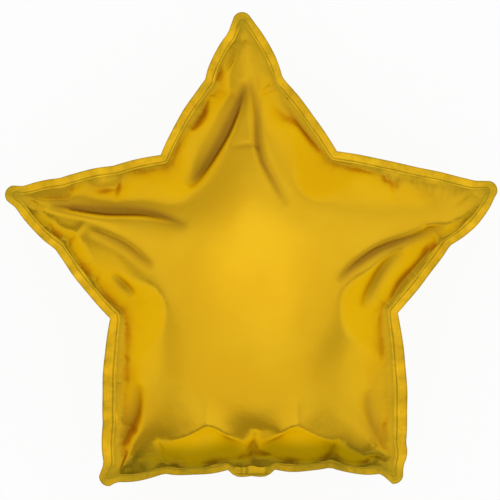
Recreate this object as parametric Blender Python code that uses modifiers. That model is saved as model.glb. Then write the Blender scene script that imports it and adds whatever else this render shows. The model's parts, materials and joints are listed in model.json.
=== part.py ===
"""A star foil balloon, blown up and sealed, lying on its back.

Two star-shaped sheets of metallised film are heat-sealed round their edge and filled through a flat
neck at the bottom of the star. The neck's tail is folded back behind the balloon. The film doesn't
stretch, so filling it pulls its edge in and gathers the seal into scallops, with a crease at each
gather. The whole balloon is one piece.

Metres, +Z up. +Z is the front of the star and +Y points to its top tip. The origin is on the small
flat spot that the back rests on, under the star's middle.
"""

import math

import bmesh
import bpy
from mathutils import Vector
from mathutils.bvhtree import BVHTree

MM = 0.001

# The star, from its middle to the seam
TIP_REACH = 216.5 * MM
NOTCH_REACH = 121.0 * MM
BOTTOM_REACH = 158.0 * MM

# The body's depth: the crown of either panel over the seam, and how far the balloon's weight flattens
# the back's
CROWN = 82.0 * MM
FLAT_SPOT_DROP = 4.0 * MM

# The heat seal outside the seam, and the film of the two sheets together
SEAL_WIDTH = 8.3 * MM
FILM = 1.2 * MM

# The neck's root at the bottom edge, and its tail behind the back
NECK_WIDTH = 40.0 * MM
NECK_DROP = 8.0 * MM
TAIL_WIDTH = 28.0 * MM
TAIL_LENGTH = 75.0 * MM
TAIL_FILM = 1.8 * MM
TAIL_GAP = 1.6 * MM
TAIL_BITE = 6.0 * MM

# How the film bends: how an arm's ridge falls to its tip, where the first lines across an arm stand, and
# how round and how full its section is at a tip, halfway along an edge and at a notch. The bottom edge
# has its own.
RIDGE_POWERS = (2.1, 1.5)
SQUARE_TO_RIDGE = 0.55
TIP_POWERS = (2.95, 1.55)
ARM_POWERS = ((1.4, 1.27), (3.4, 1.4))
BOTTOM_POWERS = ((4.0, 2.0), (3.6, 1.1))

# The share of the film's height that the pleat at a gather takes off, how deep the back's creases are next
# to the front's, and how much of the film's height a crease leaves
PLEAT_SHARE = 0.26
PLEAT_POWER = 4
BACK_CREASES = 0.8
CREASE_LEAVES = 0.35

# The mesh: columns from a tip to a notch, rows from the seam to the spine
COLUMNS = 20
FRONT_ROWS = 14
BACK_ROWS = 9
KNOB_STEPS = 8
TAIL_STEPS = 14
FOLD_STEPS = 4
TAIL_COLUMNS = 4

# The size of the gathers' steps and scallops, of the creases and of the small differences between the
# arms. The lists below give shares of it.
GATHER = 10.0 * MM

# Each tip: its direction in degrees, and how much further than TIP_REACH it goes
TIPS = [
    ("top", 92.1, 0.34),
    ("right", 19.7, 0.13),
    ("lower_right", -54.5, -0.41),
    ("lower_left", -125.3, -0.23),
    ("left", 161.3, 0.03),
]
# The notch that follows each tip clockwise, its own reach, and how much further it goes
NOTCHES = [
    ("upper_right", 55.3, NOTCH_REACH, 0.05),
    ("right_waist", -14.2, NOTCH_REACH, 0.14),
    ("bottom", -90.0, BOTTOM_REACH, 0.0),
    ("left_waist", -163.0, NOTCH_REACH, -0.17),
    ("upper_left", 127.1, NOTCH_REACH, 0.04),
]
# The gathers along each edge, from the tip on. Each has its place as a share of the edge, how far out
# of the straight edge it lies, and the bulge of the scallop after it. Clockwise edges come first.
GATHERS = {
    ("top", 1): [(0.07, 0.05, 0.26), (0.43, -0.49, 0.19)],
    ("top", -1): [(0.11, -0.22, 0.28), (0.44, -0.35, 0.28)],
    ("right", 1): [(0.07, 0.25, 0.35), (0.44, -0.27, 0.13)],
    ("right", -1): [(0.09, -0.22, 0.05), (0.59, 0.0, 0.08)],
    ("lower_right", 1): [(0.09, -0.75, 0.3), (0.45, -0.8, 0.3), (0.84, 0.0, 0.0)],
    ("lower_right", -1): [(0.05, 0.03, 0.23), (0.19, 0.33, 0.4)],
    ("lower_left", 1): [(0.08, -0.33, 0.17), (0.33, -0.02, 0.29)],
    ("lower_left", -1): [(0.05, -0.26, 0.23), (0.39, -0.44, 0.28), (0.84, 0.0, 0.0)],
    ("left", 1): [(0.07, -0.24, 0.13), (0.31, -0.22, 0.16), (0.67, -0.09, 0.1)],
    ("left", -1): [(0.07, -0.17, 0.26), (0.43, -0.39, 0.21)],
}

# How much further in the seam lies at the middle of an edge whose seal is wider than the others'
SEAM_INSETS = {
    ("lower_right", 1): -0.22,
    ("lower_right", -1): 0.36,
    ("lower_left", 1): 0.36,
    ("lower_left", -1): -0.22,
}
# The creases and puckers of the front: how far each stands out, or in where negative, its width to either
# side, and its stops in shares of TIP_REACH
CREASES = [
    (
        "top_left",
        -0.56,
        0.58,
        [(-0.02, 0.78), (-0.05, 0.70), (-0.08, 0.63), (-0.12, 0.55), (-0.20, 0.42), (-0.25, 0.35)],
    ),
    (
        "top_middle",
        -0.28,
        0.50,
        [(0.00, 0.79), (0.02, 0.66), (0.02, 0.54), (0.04, 0.46), (0.08, 0.37), (0.14, 0.27)],
    ),
    ("top_right_edge", -0.18, 0.55, [(0.13, 0.73), (0.21, 0.60), (0.29, 0.50)]),
    ("top_left_edge", -0.18, 0.55, [(-0.18, 0.71), (-0.24, 0.58)]),
    ("left_main", -0.52, 0.56, [(-0.81, 0.29), (-0.69, 0.27), (-0.58, 0.26), (-0.41, 0.25), (-0.24, 0.20)]),
    ("left_low", -0.32, 0.52, [(-0.65, 0.18), (-0.50, 0.12), (-0.38, 0.02)]),
    ("left_waist", -0.26, 0.52, [(-0.55, 0.00), (-0.46, -0.08)]),
    ("right_top", -0.28, 0.52, [(0.36, 0.45), (0.59, 0.41), (0.79, 0.37), (0.91, 0.35)]),
    ("right_main", -0.54, 0.56, [(0.78, 0.20), (0.63, 0.15), (0.51, 0.11), (0.41, 0.04), (0.33, -0.03)]),
    ("right_low", -0.40, 0.54, [(0.60, 0.10), (0.53, 0.04), (0.48, -0.04), (0.44, -0.13)]),
    ("right_edge", -0.26, 0.52, [(0.73, 0.10), (0.67, 0.04), (0.60, -0.04), (0.57, -0.11)]),
    ("left_side", -0.28, 0.60, [(-0.45, -0.42), (-0.46, -0.54), (-0.50, -0.62), (-0.54, -0.69)]),
    ("right_side", -0.22, 0.60, [(0.45, -0.45), (0.47, -0.55), (0.50, -0.63), (0.54, -0.69)]),
    (
        "left_pucker",
        0.42,
        0.80,
        [(-0.35, -0.69), (-0.26, -0.66), (-0.17, -0.65), (-0.08, -0.67), (0.00, -0.70)],
    ),
    (
        "right_pucker",
        0.42,
        0.80,
        [(0.03, -0.70), (0.10, -0.67), (0.18, -0.65), (0.26, -0.66), (0.36, -0.69)],
    ),
    ("neck_line", -0.22, 0.50, [(0.01, -0.60), (0.01, -0.67), (0.00, -0.76)]),
]

SEAM_HEIGHT = CROWN - FLAT_SPOT_DROP + FILM / 2
EDGES = [(tip, side) for tip in range(len(TIPS)) for side in (1, -1)]


def polar(degrees, reach):
    angle = math.radians(degrees)
    return Vector((reach * math.cos(angle), reach * math.sin(angle), 0.0))


def tip_point(tip):
    """The end of the seam at a tip."""
    _, degrees, extra = TIPS[tip]
    return polar(degrees, TIP_REACH + extra * GATHER)


def notch_index(tip, side):
    return tip if side == 1 else (tip - 1) % len(TIPS)


def notch_point(tip, side):
    """The end of the seam at the notch on one side of a tip."""
    _, degrees, reach, extra = NOTCHES[notch_index(tip, side)]
    return polar(degrees, reach + extra * GATHER)


def outward(tip, side):
    """The direction out of the star, square to an edge."""
    along = (notch_point(tip, side) - tip_point(tip)).normalized()
    return Vector((-along.y, along.x, 0.0)) * side


def seal_corner(tip, side):
    """The outer corner of the seal at a notch, where the seals of its two edges meet."""
    notch = notch_index(tip, side)
    first = outward(notch, 1)
    second = outward((notch + 1) % len(TIPS), -1)
    return notch_point(tip, side) + (first + second) * SEAL_WIDTH / (1 + first.dot(second))


def gathers(tip, side):
    """An edge's gathers with its two ends."""
    inner = GATHERS[TIPS[tip][0], side]
    return [(0.0, 0.0, 0.0), *inner, (1.0, 0.0, 0.0)]


def scallop(tip, side, share):
    """How far the edge stands out at a share of its length, and how full the film is there."""
    stops = gathers(tip, side)
    for (start, low, bulge), (end, high, _) in zip(stops, stops[1:]):
        part = (share - start) / (end - start)
        full = 4 * part * (1 - part)
        if share <= end:
            break
    return (low + (high - low) * part + bulge * full) * GATHER, full


def neck(point):
    """How far the neck's root hangs below the bottom edge at a point of it."""
    across = abs(point.x) / (NECK_WIDTH / 2)
    below_middle = point.y < -NOTCH_REACH
    return NECK_DROP * (1 - across ** 4) if below_middle and across < 1 else 0.0


def edge_point(tip, side, share, start, end):
    """A point of an edge between two ends, with its scallops and the neck's root."""
    stand_out, _ = scallop(tip, side, share)
    point = start.lerp(end, share)
    drop = neck(point)
    return point + outward(tip, side) * stand_out - Vector((0.0, drop, 0.0))


def seam_point(tip, side, share):
    point = edge_point(tip, side, share, tip_point(tip), notch_point(tip, side))
    inset = SEAM_INSETS.get((TIPS[tip][0], side), 0.0) * GATHER
    return point - outward(tip, side) * inset * math.sin(math.pi * share) ** 0.5


def rim_point(tip, side, share):
    start = tip_point(tip) + outward(tip, side) * SEAL_WIDTH
    return edge_point(tip, side, share, start, seal_corner(tip, side))


def column_shares(tip, side):
    """The shares of an edge where its columns stand, with a column on every gather."""
    places = [0]
    shares = [0.0]
    for share, _, _ in gathers(tip, side)[1:-1]:
        places.append(max(places[-1] + 2, round(share * COLUMNS)))
        shares.append(share)
    places.append(COLUMNS)
    shares.append(1.0)
    result = []
    for column in range(COLUMNS + 1):
        after = next(k for k in range(1, len(places)) if column <= places[k])
        part = (column - places[after - 1]) / (places[after] - places[after - 1])
        result.append(shares[after - 1] + (shares[after] - shares[after - 1]) * part)
    return result


def near_line(point, stops):
    """How far a point is from a line of stops, and the share of the line's length nearest to it."""
    passed = 0.0
    nearest = []
    for start, end in zip(stops, stops[1:]):
        step = end - start
        share = min(max((point - start).dot(step) / step.length_squared, 0.0), 1.0)
        nearest.append(((point - start - step * share).length, passed + share * step.length))
        passed += step.length
    distance, place = min(nearest)
    return distance, place / passed


def crease_height(point, face):
    """How far the creases of one panel lift its film at a point, or press it in where negative."""
    seen = point if face > 0 else Vector((-point.x, point.y, 0.0))
    height = 0.0
    for _, stand_out, width, stops in CREASES:
        line = [Vector((x, y, 0.0)) * TIP_REACH for x, y in stops]
        distance, share = near_line(seen, line)
        fade = (4 * share * (1 - share)) ** 0.7
        height += stand_out * GATHER * fade * math.exp(-(distance / (width * GATHER)) ** 1.6)
    return height if face > 0 else height * BACK_CREASES


def section(tip, side, part):
    """How round and how full the film's section is at a part of the way from a tip to its notch."""
    at_bottom = NOTCHES[notch_index(tip, side)][0] == "bottom"
    halfway, at_notch = BOTTOM_POWERS if at_bottom else ARM_POWERS
    weights = ((1 - part) * (1 - 2 * part), 4 * part * (1 - part), part * (2 * part - 1))
    stops = zip(TIP_POWERS, halfway, at_notch)
    return [sum(weight * value for weight, value in zip(weights, values)) for values in stops]


def panel_grid(tip, side, face, rows, limit):
    """One tenth of a panel: rows of points and heights from the seam in to the arm's spine."""
    grid = []
    for column, share in enumerate(column_shares(tip, side)):
        part = column / COLUMNS
        reach = 1 - SQUARE_TO_RIDGE * part - (1 - SQUARE_TO_RIDGE) * part ** 3
        seam = seam_point(tip, side, share)
        spine = tip_point(tip) * reach
        ridge = CROWN * (1 - reach ** RIDGE_POWERS[0]) ** RIDGE_POWERS[1]
        roundness, fullness = section(tip, side, part)
        pleat = PLEAT_SHARE * (1 - part ** 2) * (1 - scallop(tip, side, share)[1]) ** PLEAT_POWER
        line = []
        for row in range(rows + 1):
            inward = 1 - math.cos(math.pi / 2 * row / rows)
            arch = (1 - (1 - inward) ** roundness) ** fullness
            flat = seam.lerp(spine, inward)
            height = ridge * arch * (1 - pleat * (1 - inward) ** 2)
            crease = crease_height(flat, face) * min(height / GATHER, 1.0)
            height = max(height + crease, height * CREASE_LEAVES)
            line.append((flat, min(height, limit)))
        grid.append(line)
    return grid


def add_panel(mesh, face, rows, limit):
    """One panel of the balloon, +1 for the front and -1 for the back, no higher than a limit."""
    def place(flat, height):
        return mesh.verts.new(flat + Vector((0, 0, SEAM_HEIGHT + face * (FILM / 2 + height))))

    for tip, side in EDGES:
        grid = panel_grid(tip, side, face, rows, limit)
        points = [[place(*spot) for spot in line] for line in grid]
        for left, right in zip(points, points[1:]):
            for row in range(rows):
                corners = [left[row], right[row], right[row + 1], left[row + 1]]
                mesh.faces.new(corners if side * face < 0 else corners[::-1])


def seal_strip(tip, side):
    """The seam and rim points of an edge, from its tip to its notch."""
    shares = column_shares(tip, side)
    return [(seam_point(tip, side, share), rim_point(tip, side, share)) for share in shares]


def knob_strip(tip):
    """The round end of the seal at a tip, from its clockwise edge to the other."""
    centre = tip_point(tip)
    first = outward(tip, 1)
    turn = first.angle(outward(tip, -1))
    strip = []
    for step in range(KNOB_STEPS + 1):
        angle = turn * step / KNOB_STEPS
        spoke = Vector(
            (
                first.x * math.cos(angle) - first.y * math.sin(angle),
                first.x * math.sin(angle) + first.y * math.cos(angle),
                0.0,
            )
        )
        strip.append((centre, centre + spoke * SEAL_WIDTH))
    return strip


def add_seal(mesh, strip, clockwise):
    """The flat seal between the seam and the rim: front, rim and back."""
    lift = Vector((0, 0, SEAM_HEIGHT))
    half = Vector((0, 0, FILM / 2))
    for (seam_a, rim_a), (seam_b, rim_b) in zip(strip, strip[1:]):
        for ring in (
            [seam_a + half, rim_a + half, rim_b + half, seam_b + half],
            [rim_a + half, rim_a - half, rim_b - half, rim_b + half],
            [rim_a - half, seam_a - half, seam_b - half, rim_b - half],
        ):
            corners = [mesh.verts.new(point + lift) for point in ring]
            mesh.faces.new(corners[::-1] if clockwise else corners)


def finish(mesh, name):
    """A new object from a bmesh whose pieces share their borders."""
    bmesh.ops.remove_doubles(mesh, verts=mesh.verts, dist=0.00001)
    bmesh.ops.dissolve_degenerate(mesh, edges=mesh.edges, dist=0.00001)
    bmesh.ops.recalc_face_normals(mesh, faces=mesh.faces)
    data = bpy.data.meshes.new(name)
    mesh.to_mesh(data)
    mesh.free()
    return bpy.data.objects.new(name, data)


def make_body():
    mesh = bmesh.new()
    add_panel(mesh, 1, FRONT_ROWS, CROWN)
    add_panel(mesh, -1, BACK_ROWS, CROWN - FLAT_SPOT_DROP)
    for tip, side in EDGES:
        add_seal(mesh, seal_strip(tip, side), side == 1)
    for tip in range(len(TIPS)):
        add_seal(mesh, knob_strip(tip), False)
    return finish(mesh, "star_balloon")


def tail_path(body):
    """The tail's middle line: out of the neck's root, round its fold, and up along the back."""
    surface = BVHTree.FromObject(body, bpy.context.evaluated_depsgraph_get())
    root_end = -(BOTTOM_REACH + NECK_DROP + SEAL_WIDTH)
    stand_off = FILM / 2 + TAIL_GAP + TAIL_FILM / 2
    path = [Vector((0, root_end + TAIL_BITE, SEAM_HEIGHT)), Vector((0, root_end, SEAM_HEIGHT))]
    fold_middle = Vector((0, root_end, SEAM_HEIGHT - stand_off / 2))
    for step in range(1, FOLD_STEPS + 1):
        angle = math.pi * step / FOLD_STEPS
        path.append(fold_middle + Vector((0, -math.sin(angle), math.cos(angle))) * stand_off / 2)
    length = 0.0
    step = TAIL_LENGTH / TAIL_STEPS
    slope = 0.0
    while length < TAIL_LENGTH:
        forward = path[-1].y + step * math.cos(slope)
        below = []
        for column in range(TAIL_COLUMNS + 1):
            across = TAIL_WIDTH * (column / TAIL_COLUMNS - 0.5)
            hit = surface.ray_cast(Vector((across, forward, 0)), Vector((0, 0, 1)))
            below.append(hit[0].z)
        point = Vector((0, forward, min(below) - (stand_off - FILM / 2) / math.cos(slope)))
        path.append(point)
        slope = math.atan2(path[-2].z - point.z, forward - path[-2].y)
        length += (point - path[-2]).length
    return path


def make_tail(body):
    mesh = bmesh.new()
    half = Vector((TAIL_WIDTH / 2, 0, 0))
    rows = [(mesh.verts.new(point - half), mesh.verts.new(point + half)) for point in tail_path(body)]
    for first, second in zip(rows, rows[1:]):
        mesh.faces.new((first[0], first[1], second[1], second[0]))
    tail = finish(mesh, "neck_tail")
    wall = tail.modifiers.new("film", "SOLIDIFY")
    wall.thickness = TAIL_FILM
    wall.offset = 0
    tail.hide_render = True
    tail.display_type = "WIRE"
    return tail


def gold_foil():
    material = bpy.data.materials.new("gold_foil")
    material.use_nodes = True
    shader = material.node_tree.nodes["Principled BSDF"]
    shader.inputs["Base Color"].default_value = (0.81, 0.48, 0.015, 1)
    shader.inputs["Metallic"].default_value = 1.0
    shader.inputs["Roughness"].default_value = 0.32
    return material


def main():
    for old in list(bpy.data.objects):
        bpy.data.objects.remove(old)
    parts = bpy.data.collections.new("star_foil_balloon")
    cutters = bpy.data.collections.new("cutters")
    for collection in (parts, cutters):
        bpy.context.scene.collection.children.link(collection)

    body = make_body()
    parts.objects.link(body)
    tail = make_tail(body)
    cutters.objects.link(tail)
    join = body.modifiers.new("tail", "BOOLEAN")
    join.operation = "UNION"
    join.object = tail

    body.data.materials.append(gold_foil())
    body.data.shade_smooth()
    body.data.set_sharp_from_angle(angle=math.radians(50))


main()
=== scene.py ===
# %% [markdown]
# # A star foil balloon
#
# Two star-shaped sheets of metallised film are heat-sealed together round their edge and filled through a
# flat neck at the bottom. Film bends but doesn't stretch. Filling the star therefore pulls its edge in, and
# the edge has to gather into scallops, with a crease running in from each gather. That is why a foil balloon
# never looks like a smooth cushion.
#
# The balloon lies on its back here. +Z is its front, +Y points to the top tip, and all sizes are in metres.
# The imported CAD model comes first, because everything made below has to fit it.

# %% Load the frame
import json
import math
from collections import Counter

import bpy
import numpy as np
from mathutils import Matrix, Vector, geometry
from mathutils.bvhtree import BVHTree

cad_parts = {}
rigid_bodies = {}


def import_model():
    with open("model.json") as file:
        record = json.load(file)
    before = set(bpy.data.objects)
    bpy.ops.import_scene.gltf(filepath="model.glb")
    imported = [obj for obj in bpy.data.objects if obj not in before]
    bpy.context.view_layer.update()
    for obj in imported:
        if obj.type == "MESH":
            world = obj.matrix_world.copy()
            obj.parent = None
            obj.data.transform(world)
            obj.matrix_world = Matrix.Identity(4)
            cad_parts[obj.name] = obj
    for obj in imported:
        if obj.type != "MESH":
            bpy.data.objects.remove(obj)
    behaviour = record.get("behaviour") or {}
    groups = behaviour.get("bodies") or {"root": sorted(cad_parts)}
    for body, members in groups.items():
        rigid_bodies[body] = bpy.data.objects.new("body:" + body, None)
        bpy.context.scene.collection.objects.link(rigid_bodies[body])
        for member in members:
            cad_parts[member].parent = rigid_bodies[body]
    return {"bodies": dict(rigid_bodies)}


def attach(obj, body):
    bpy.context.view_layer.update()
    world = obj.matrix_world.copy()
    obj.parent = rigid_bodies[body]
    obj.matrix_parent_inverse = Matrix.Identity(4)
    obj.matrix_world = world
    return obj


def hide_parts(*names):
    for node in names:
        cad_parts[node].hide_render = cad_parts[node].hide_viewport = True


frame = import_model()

MM = 0.001
NODE = "star_balloon"
BODY = "root" if "root" in frame["bodies"] else next(iter(frame["bodies"]))
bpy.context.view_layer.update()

# %% [markdown]
# ## The outline
#
# The outline of the filled star is a design in itself: five arms with straight edges, a seal of even width
# outside them, and gathers along each edge. Each gather is a place on an edge, a small step in or out, and
# the bulge of the scallop that follows it. Written like this, the outline is a short list that can be
# changed by hand, and any number of points can be taken from it.

# %% Sizes of the star
TIP_REACH = 216.5 * MM
NOTCH_REACH = 121.0 * MM
BOTTOM_REACH = 158.0 * MM
SEAL_WIDTH = 8.3 * MM
NECK_WIDTH = 40.0 * MM
NECK_DROP = 8.0 * MM
SEAM_HEIGHT = 78.6 * MM
GATHER = 10.0 * MM

TIPS = [
    ("top", 92.1, 0.34),
    ("right", 19.7, 0.13),
    ("lower_right", -54.5, -0.41),
    ("lower_left", -125.3, -0.23),
    ("left", 161.3, 0.03),
]
NOTCHES = [
    ("upper_right", 55.3, NOTCH_REACH, 0.05),
    ("right_waist", -14.2, NOTCH_REACH, 0.14),
    ("bottom", -90.0, BOTTOM_REACH, 0.0),
    ("left_waist", -163.0, NOTCH_REACH, -0.17),
    ("upper_left", 127.1, NOTCH_REACH, 0.04),
]
GATHERS = {
    ("top", 1): [(0.07, 0.05, 0.26), (0.43, -0.49, 0.19)],
    ("top", -1): [(0.11, -0.22, 0.28), (0.44, -0.35, 0.28)],
    ("right", 1): [(0.07, 0.25, 0.35), (0.44, -0.27, 0.13)],
    ("right", -1): [(0.09, -0.22, 0.05), (0.59, 0.0, 0.08)],
    ("lower_right", 1): [(0.09, -0.75, 0.3), (0.45, -0.8, 0.3), (0.84, 0.0, 0.0)],
    ("lower_right", -1): [(0.05, 0.03, 0.23), (0.19, 0.33, 0.4)],
    ("lower_left", 1): [(0.08, -0.33, 0.17), (0.33, -0.02, 0.29)],
    ("lower_left", -1): [(0.05, -0.26, 0.23), (0.39, -0.44, 0.28), (0.84, 0.0, 0.0)],
    ("left", 1): [(0.07, -0.24, 0.13), (0.31, -0.22, 0.16), (0.67, -0.09, 0.1)],
    ("left", -1): [(0.07, -0.17, 0.26), (0.43, -0.39, 0.21)],
}
SEAM_INSET = {
    ("lower_right", -1): 3.6 * MM,
    ("lower_left", 1): 3.6 * MM,
    ("lower_right", 1): -2.2 * MM,
    ("lower_left", -1): -2.2 * MM,
}
ARMS = range(len(TIPS))


# %% Points of the outline
def polar(degrees, reach):
    angle = math.radians(degrees)
    return np.array([reach * math.cos(angle), reach * math.sin(angle)])


def tip_point(tip):
    _, degrees, extra = TIPS[tip]
    return polar(degrees, TIP_REACH + extra * GATHER)


def notch_of(tip, side):
    return tip if side == 1 else (tip - 1) % len(TIPS)


def notch_point(tip, side):
    _, degrees, reach, extra = NOTCHES[notch_of(tip, side)]
    return polar(degrees, reach + extra * GATHER)


def outward(tip, side):
    """The direction out of the star, square to the edge on one side of a tip (1 is clockwise)."""
    along = notch_point(tip, side) - tip_point(tip)
    along = along / np.linalg.norm(along)
    return np.array([-along[1], along[0]]) * side


def seal_corner(tip, side):
    """Where the rims of two edges meet outside a notch."""
    notch = notch_of(tip, side)
    first = outward(notch, 1)
    second = outward((notch + 1) % len(TIPS), -1)
    return notch_point(tip, side) + (first + second) * SEAL_WIDTH / (1 + first @ second)


def scallop(tip, side, share):
    """How far the edge stands out at a share of its length."""
    stops = [(0.0, 0.0, 0.0), *GATHERS[TIPS[tip][0], side], (1.0, 0.0, 0.0)]
    for (start, low, bulge), (end, high, _) in zip(stops, stops[1:]):
        if share <= end:
            break
    part = (share - start) / (end - start)
    full = 4 * part * (1 - part)
    return (low + (high - low) * part + bulge * full) * GATHER


def neck_drop(point):
    """How far the neck's root hangs below a point of the bottom edge."""
    across = abs(point[0]) / (NECK_WIDTH / 2)
    return NECK_DROP * (1 - across ** 4) if point[1] < -NOTCH_REACH and across < 1 else 0.0


def edge_point(tip, side, share, start, end):
    point = start + (end - start) * share
    return point + outward(tip, side) * scallop(tip, side, share) - np.array([0.0, neck_drop(point)])


def seam_point(tip, side, share):
    """The weld's line. It isn't quite parallel to the cut edge: the seal is wider down the sides."""
    inset = SEAM_INSET.get((TIPS[tip][0], side), 0.0) * math.sin(math.pi * share) ** 0.5
    return edge_point(tip, side, share, tip_point(tip), notch_point(tip, side)) - outward(tip, side) * inset


def rim_point(tip, side, share):
    start = tip_point(tip) + outward(tip, side) * SEAL_WIDTH
    return edge_point(tip, side, share, start, seal_corner(tip, side))


print("tips:", [np.round(tip_point(tip) / MM, 1).tolist() for tip in ARMS])

# %% [markdown]
# ## The flat film
#
# Before it is filled, the balloon is two flat stars. Each tip starts further out than it ends, and each
# notch starts a good deal further out, because the body swells most there. The seam is walked as a loop of
# evenly spaced points, once on the flat film and once where the filled star holds it.
#
# A regular grid of triangles bends the same way in all directions, so folds go where the film wants them and
# not where the mesh does. Delaunay triangulation joins that grid to the loop.

# %% Walk the seam, flat and filled
FILM_STEP = 4.6 * MM
GRID_REACH = 280.0 * MM
SEAM_CLEARANCE = 0.72
TIP_GROWTH = 1.11
NOTCH_DRAW = 40.0 * MM
WAVE_HEIGHT = 1.6 * MM
WAVES_PER_EDGE = 3.5


def flat_tip(tip):
    return tip_point(tip) * TIP_GROWTH


def flat_notch(tip, side):
    point = notch_point(tip, side)
    return point * (1 + NOTCH_DRAW / np.linalg.norm(point))


def seam_wave(tip, side, share):
    """How far the filled star's seam lies above or below its middle plane."""
    phase = 1.7 * tip + 0.9 * side
    return WAVE_HEIGHT * math.sin(math.pi * share) * math.sin(2 * math.pi * WAVES_PER_EDGE * share + phase)


def walk_seam():
    """The seam's loop, clockwise from the top tip: (tip, side, share) of each point."""
    loop = []
    for tip in ARMS:
        following = (tip + 1) % len(TIPS)
        for arm, side, to_notch in ((tip, 1, True), (following, -1, False)):
            length = np.linalg.norm(flat_notch(arm, side) - flat_tip(arm))
            count = round(length / FILM_STEP)
            shares = [step / count for step in range(count)]
            loop += [(arm, side, share if to_notch else 1 - share) for share in shares]
    return loop


seam_loop = walk_seam()
flat_seam = np.array(
    [
        flat_tip(tip) + (flat_notch(tip, side) - flat_tip(tip)) * share
        - np.array([0.0, neck_drop(tip_point(tip) + (notch_point(tip, side) - tip_point(tip)) * share)])
        for tip, side, share in seam_loop
    ]
)
filled_seam = np.array([[*seam_point(*spot), seam_wave(*spot)] for spot in seam_loop])
print(len(seam_loop), "points on the seam")


# %% Triangulate the flat star
def inside(points, outline):
    """Which points lie inside a closed outline: each crossing of a ray to the left flips the answer."""
    answer = np.zeros(len(points), bool)
    x, y = points.T
    for (ax, ay), (bx, by) in zip(outline, np.roll(outline, 1, axis=0)):
        crosses = (ay > y) != (by > y)
        answer ^= crosses & (x < (bx - ax) * (y - ay) / (by - ay + 1e-12) + ax)
    return answer


def film_grid(step, reach):
    row_gap = step * math.sqrt(3) / 2
    rows = int(reach / row_gap)
    columns = int(reach / step)
    return np.array(
        [
            ((column + 0.5 * (row % 2)) * step, row * row_gap)
            for row in range(-rows, rows + 1)
            for column in range(-columns, columns + 1)
        ]
    )


grid = film_grid(FILM_STEP, GRID_REACH)
grid = grid[inside(grid, flat_seam)]
distances = np.linalg.norm(grid[:, None] - flat_seam[None], axis=2)
clear = distances.min(axis=1) > SEAM_CLEARANCE * FILM_STEP
grid, to_seam, nearest_seam = grid[clear], distances[clear].min(axis=1), distances[clear].argmin(axis=1)
flat_points = np.vstack([flat_seam, grid])
ring = len(flat_seam)
ring_edges = [(k, (k + 1) % ring) for k in range(ring)]
_, _, triangles, *_ = geometry.delaunay_2d_cdt([Vector(p) for p in flat_points], ring_edges, [], 1, 1e-6)


def turned_up(triangle):
    a, b, c = (flat_points[k] for k in triangle)
    return (b[0] - a[0]) * (c[1] - a[1]) > (b[1] - a[1]) * (c[0] - a[0])


triangles = [tuple(t) if turned_up(t) else tuple(t)[::-1] for t in triangles]
print(len(flat_points), "points and", len(triangles), "triangles in one sheet")

# %% [markdown]
# ## Filling the star
#
# Blender's Cloth fills it. The back sheet is the front one turned over, and both share the points of the
# seam. Three shapes drive the simulation:
#
# - the flat film, as `rest_shape_key`, which gives every edge its true length;
# - a shape with a slight bulge, so that the pressure knows which way is out;
# - the filled star's seam, which the pinned seam follows over the first frames, as if the film were
#   pulling it in.
#
# High tension makes it film and not rubber. The pressure then has only folds to give way to. Whatever gas
# weighs is nothing to this, so gravity is off.

# %% Fill it with Cloth
CLOSED_AT_FRAME = 14
LAST_FRAME = 24
START_BULGE = 0.08
PRESSURE = 28.0
FILM_TENSION = 60.0
FILM_SHEAR = 30.0
FILM_BENDING = 0.2
FILM_MASS = 0.02
FILM_DAMPING = 5.0
BENDING_DAMPING = 0.5
CLOTH_QUALITY = 8
UNEVEN_START = 0.1 * MM
FILM_SEED = 5


def two_sheets():
    """Points of both sheets at their start, flat, and with the seam pulled in; and their triangles."""
    rng = np.random.default_rng(FILM_SEED)
    depth = np.concatenate([np.zeros(ring), to_seam]) * START_BULGE
    uneven = np.concatenate([np.zeros(ring), rng.normal(0, UNEVEN_START, len(grid))])
    uneven_back = np.concatenate([np.zeros(ring), rng.normal(0, UNEVEN_START, len(grid))])
    front = np.column_stack([flat_points, depth + uneven])
    back = np.column_stack([flat_points, -depth - uneven_back])
    start = np.vstack([front, back[ring:]])
    flat = start * (1, 1, 0)
    closed = start.copy()
    closed[:ring] = filled_seam
    behind = [k if k < ring else k + len(grid) for k in range(len(flat_points))]
    faces = triangles + [tuple(behind[k] for k in t[::-1]) for t in triangles]
    return start, flat, closed, faces


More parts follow.
